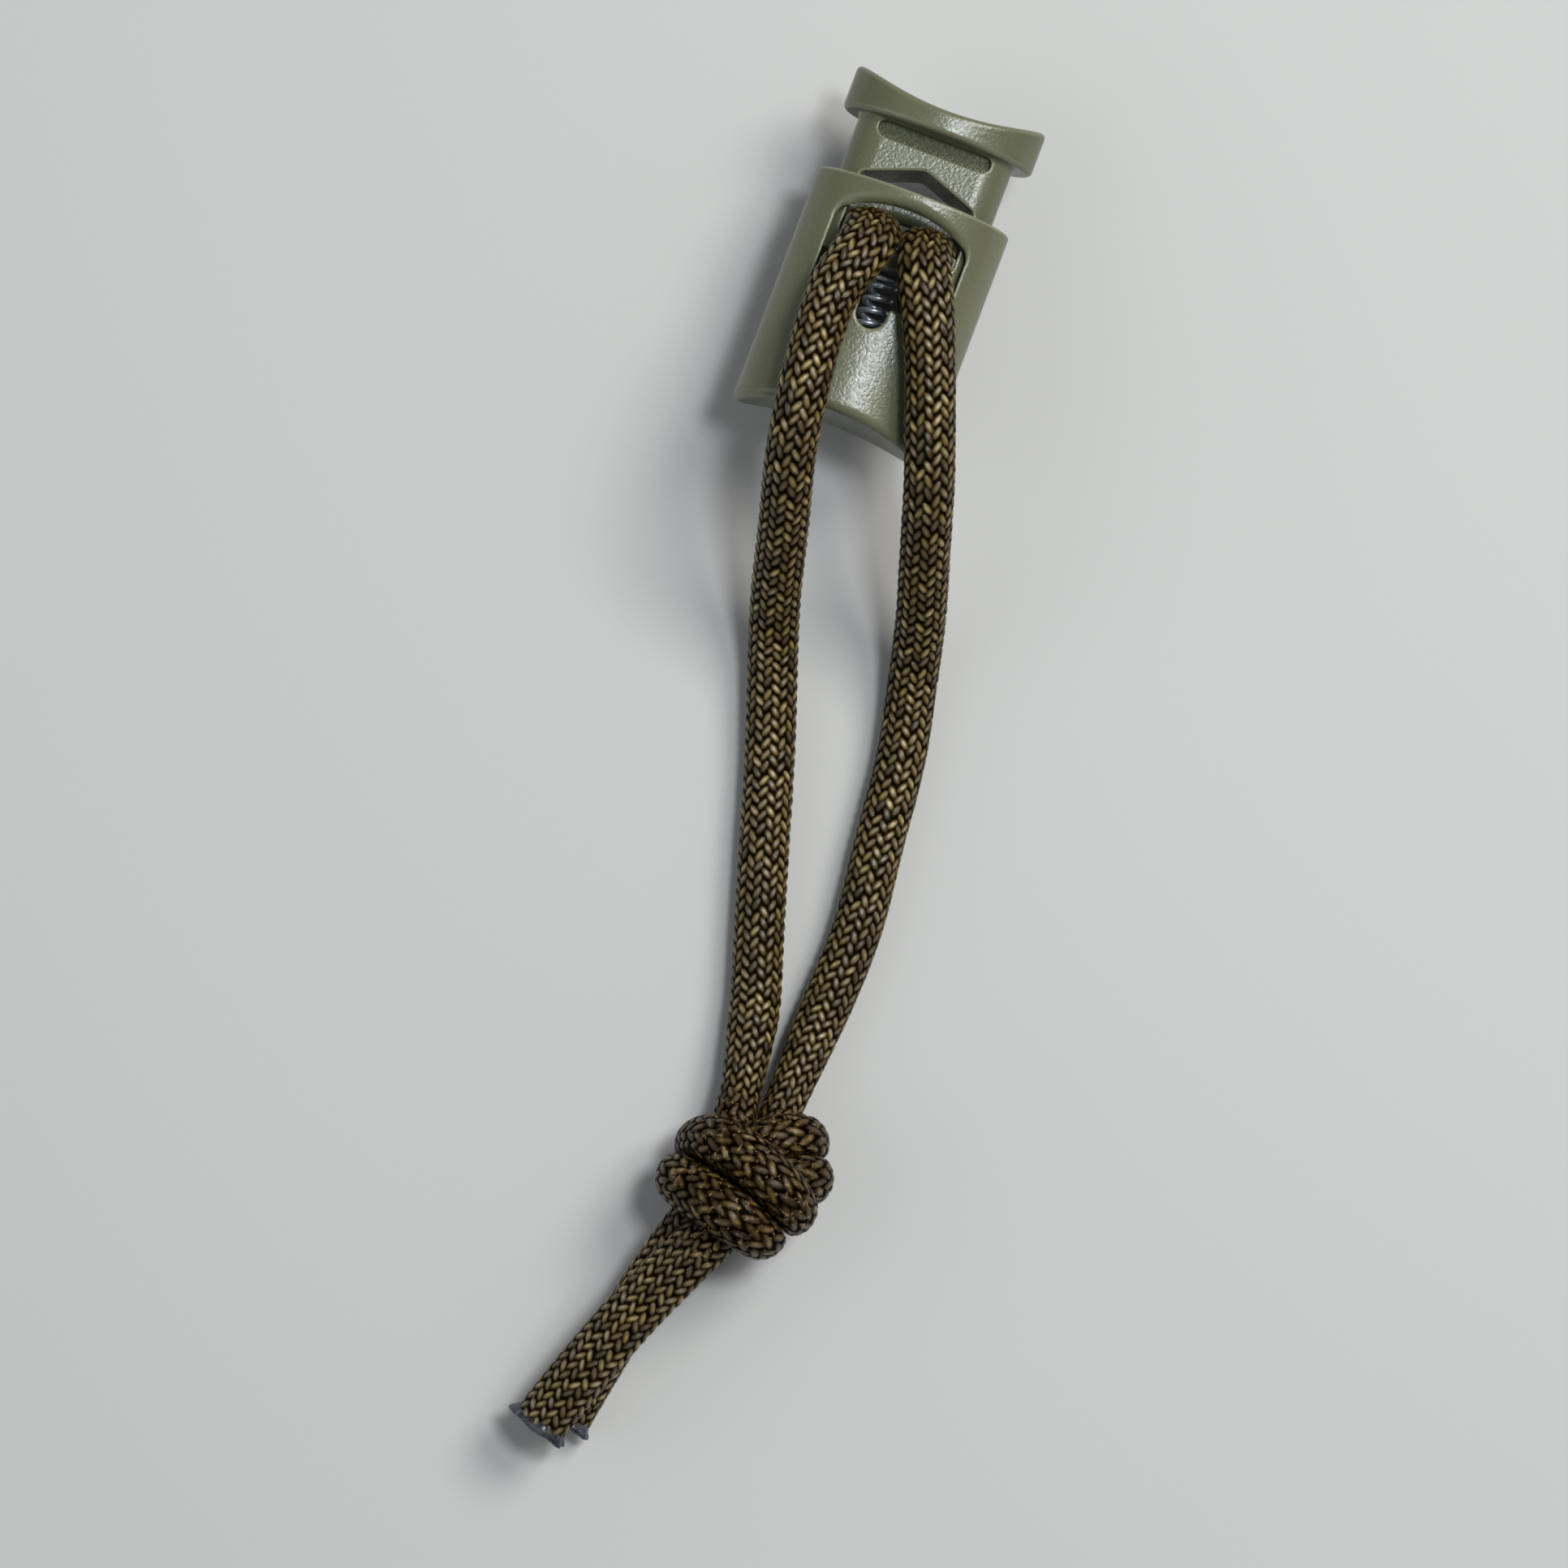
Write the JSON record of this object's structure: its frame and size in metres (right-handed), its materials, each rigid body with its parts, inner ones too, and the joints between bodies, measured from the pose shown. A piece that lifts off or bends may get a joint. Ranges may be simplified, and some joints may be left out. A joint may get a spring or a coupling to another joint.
{
  "type": "cord lock",
  "caption": "Small oval spring-loaded cord lock clamping a looped braided cord, whose two strands are tied in an overhand knot with short cut tails.",
  "frame": {"origin": "centre of the cord passage, between the barrel's arch and the plunger's cross-bar, halfway through the lock", "axes": "+X across the lock, +Y from the barrel to the plunger's cap, +Z out of the front, along the cord passage"},
  "size_m": [0.0297, 0.1102, 0.0185],
  "materials": {
    "barrel": "fine moulded grain, olive green",
    "plunger": "fine moulded grain, olive green",
    "spring": "bright drawn wire",
    "cord": "braided nylon, coyote brown",
    "melted": "melted nylon, dark blue-grey"
  },
  "bodies": {
    "lock": {"body": "barrel", "spring": "spring", "cord_bight": "cord", "cord_grip_left": "cord", "cord_grip_right": "cord", "cord_leg_left": "cord", "cord_leg_right": "cord", "cord_knot_left": "cord", "cord_knot_right": "cord", "cord_tail_left": "cord", "cord_tail_right": "cord", "cord_tip_left": "melted", "cord_tip_right": "melted"},
    "push": {"plunger": "plunger"}
  },
  "joints": [
    {"name": "plunger_slide", "type": "slide", "parent": "lock", "child": "push", "axis": [0, -1, 0], "range_m": [0, 0.005], "stiffness_N_per_m": 600, "springref_m": -0.0064, "deforming": ["spring", "cord_grip_left", "cord_grip_right"]}
  ]
}
